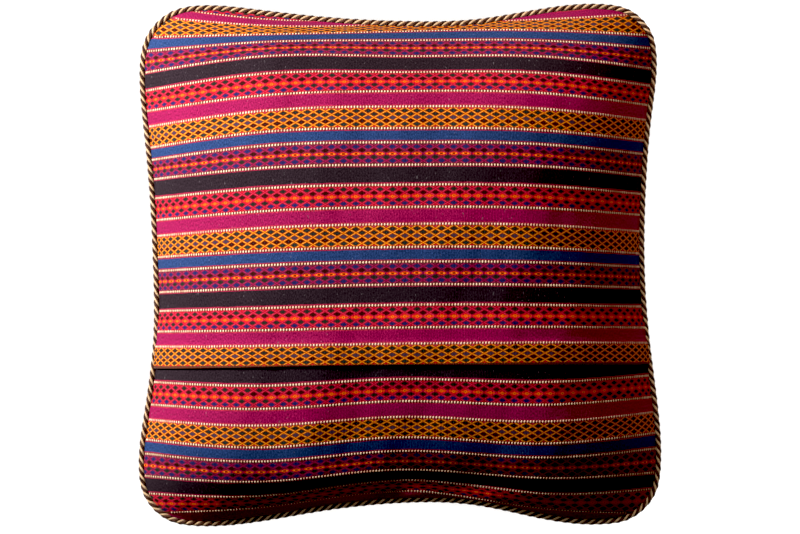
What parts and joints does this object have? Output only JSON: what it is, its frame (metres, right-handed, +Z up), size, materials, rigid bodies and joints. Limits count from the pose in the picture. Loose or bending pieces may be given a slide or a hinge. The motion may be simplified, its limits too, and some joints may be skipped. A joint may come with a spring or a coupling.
{
  "type": "kilim cushion",
  "caption": "Square filled cushion in striped kilim cloth, lying on its front: envelope closure of two overlapping panels facing up, and twisted cord piping round the seam.",
  "frame": {"origin": "on the surface it rests on, under the middle of the cushion's bounding box", "axes": "+Z up out of the back with the envelope closure, +X along the stripes to the right, +Y across the stripes to the top edge of the back"},
  "size_m": [0.4576, 0.4578, 0.1519],
  "materials": {
    "striped_cloth": "matt, ribbed kilim weave in stripes of magenta, red, yellow, blue, purple and black",
    "striped_flap": "matt, ribbed kilim weave in stripes of magenta, red, yellow, blue, purple and black, hemmed",
    "cord_yarn": "slightly lustrous twisted yarn, two cream strands and two dark brown ones"
  },
  "bodies": {
    "root": {"cushion_body": "striped_cloth", "lower_back_panel": "striped_cloth", "upper_back_panel": "striped_flap", "piping_cord": "cord_yarn"}
  },
  "joints": []
}
